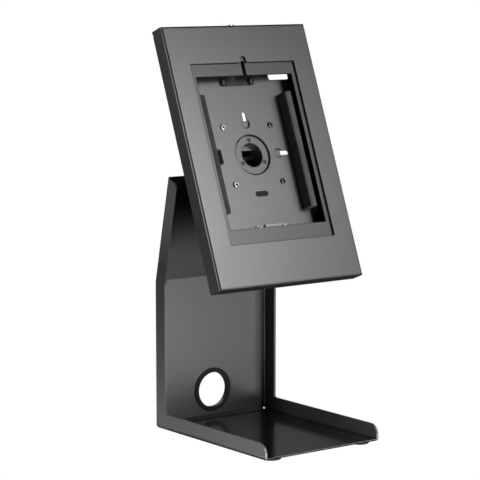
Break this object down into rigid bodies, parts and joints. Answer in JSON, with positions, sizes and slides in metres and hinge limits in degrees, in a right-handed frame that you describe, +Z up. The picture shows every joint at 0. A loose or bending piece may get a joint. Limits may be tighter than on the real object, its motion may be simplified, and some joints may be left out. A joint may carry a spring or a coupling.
{
  "type": "tablet point of sale stand",
  "caption": "Folded steel counter stand with a tilting, turning and lockable tablet enclosure, a windowed front cover and a cable port.",
  "frame": {"origin": "on the surface that the stand rests on, under the middle of the whole object's box", "axes": "+Z up, +X to the right of a person who looks at the screen, -Y towards that person"},
  "size_m": [0.226, 0.2348, 0.5204],
  "materials": {
    "powder_coat": "satin dark grey powder coat with a very fine orange peel",
    "zinc_steel": "bright zinc plated steel",
    "black_steel": "black oxide steel",
    "cast_aluminium": "turned and dark anodised aluminium",
    "lock_chrome": "polished plated lock",
    "grommet_rubber": "black moulded grommet",
    "foot_rubber": "matte black rubber",
    "foam": "charcoal closed-cell foam",
    "nylon": "dark nylon washer"
  },
  "bodies": {
    "stand": {"stand_body": "powder_coat", "cable_grommet": "grommet_rubber", "rubber_feet": "foot_rubber", "stand_bracket": "powder_coat", "stand_bracket_screws": "black_steel", "stand_bracket_nuts": "zinc_steel", "hinge_bolt": "black_steel", "hinge_nut": "black_steel", "hinge_washers": "black_steel", "hinge_friction_washers": "nylon"},
    "tilt_head": {"tilt_yoke": "powder_coat", "tilt_yoke_screws": "black_steel", "hinge_spacer": "zinc_steel", "turn_hub": "cast_aluminium", "turn_slip_washer": "nylon", "turn_stop_pin": "zinc_steel", "turn_retaining_ring": "powder_coat", "turn_ring_screws": "black_steel"},
    "enclosure": {"mounting_plate": "powder_coat", "mounting_plate_screws": "zinc_steel", "rear_tray": "powder_coat", "foam_bar_left": "foam", "foam_bar_right": "foam", "lock_keeper": "powder_coat", "lock_keeper_screws": "zinc_steel", "cable_clamp": "zinc_steel", "cable_clamp_screws": "zinc_steel"},
    "cover": {"front_cover": "powder_coat", "mask_frame": "powder_coat", "mask_studs": "zinc_steel", "mask_spacers": "zinc_steel", "mask_nuts": "zinc_steel", "lock_housing": "lock_chrome", "lock_nut": "zinc_steel"},
    "lock_barrel": {"lock_core": "lock_chrome", "lock_cam": "zinc_steel", "lock_cam_screw": "zinc_steel"}
  },
  "joints": [
    {"name": "tilt", "type": "hinge", "parent": "stand", "child": "tilt_head", "pos_m": [0, 0.0582, 0.34523], "axis": [1, 0, 0], "range_deg": [-24, 21.3]},
    {"name": "turn", "type": "hinge", "parent": "tilt_head", "child": "enclosure", "pos_m": [0, 0.03267, 0.35519], "axis": [0, -0.9317, 0.3633], "range_deg": [-90, 90]},
    {"name": "cover_open", "type": "hinge", "parent": "enclosure", "child": "cover", "pos_m": [0, -0.04076, 0.19851], "axis": [1, 0, 0], "range_deg": [0, 30]},
    {"name": "lock_turn", "type": "hinge", "parent": "cover", "child": "lock_barrel", "pos_m": [0, 0.06804, 0.49821], "axis": [0, 0.3633, 0.9317], "range_deg": [0, 90]}
  ]
}
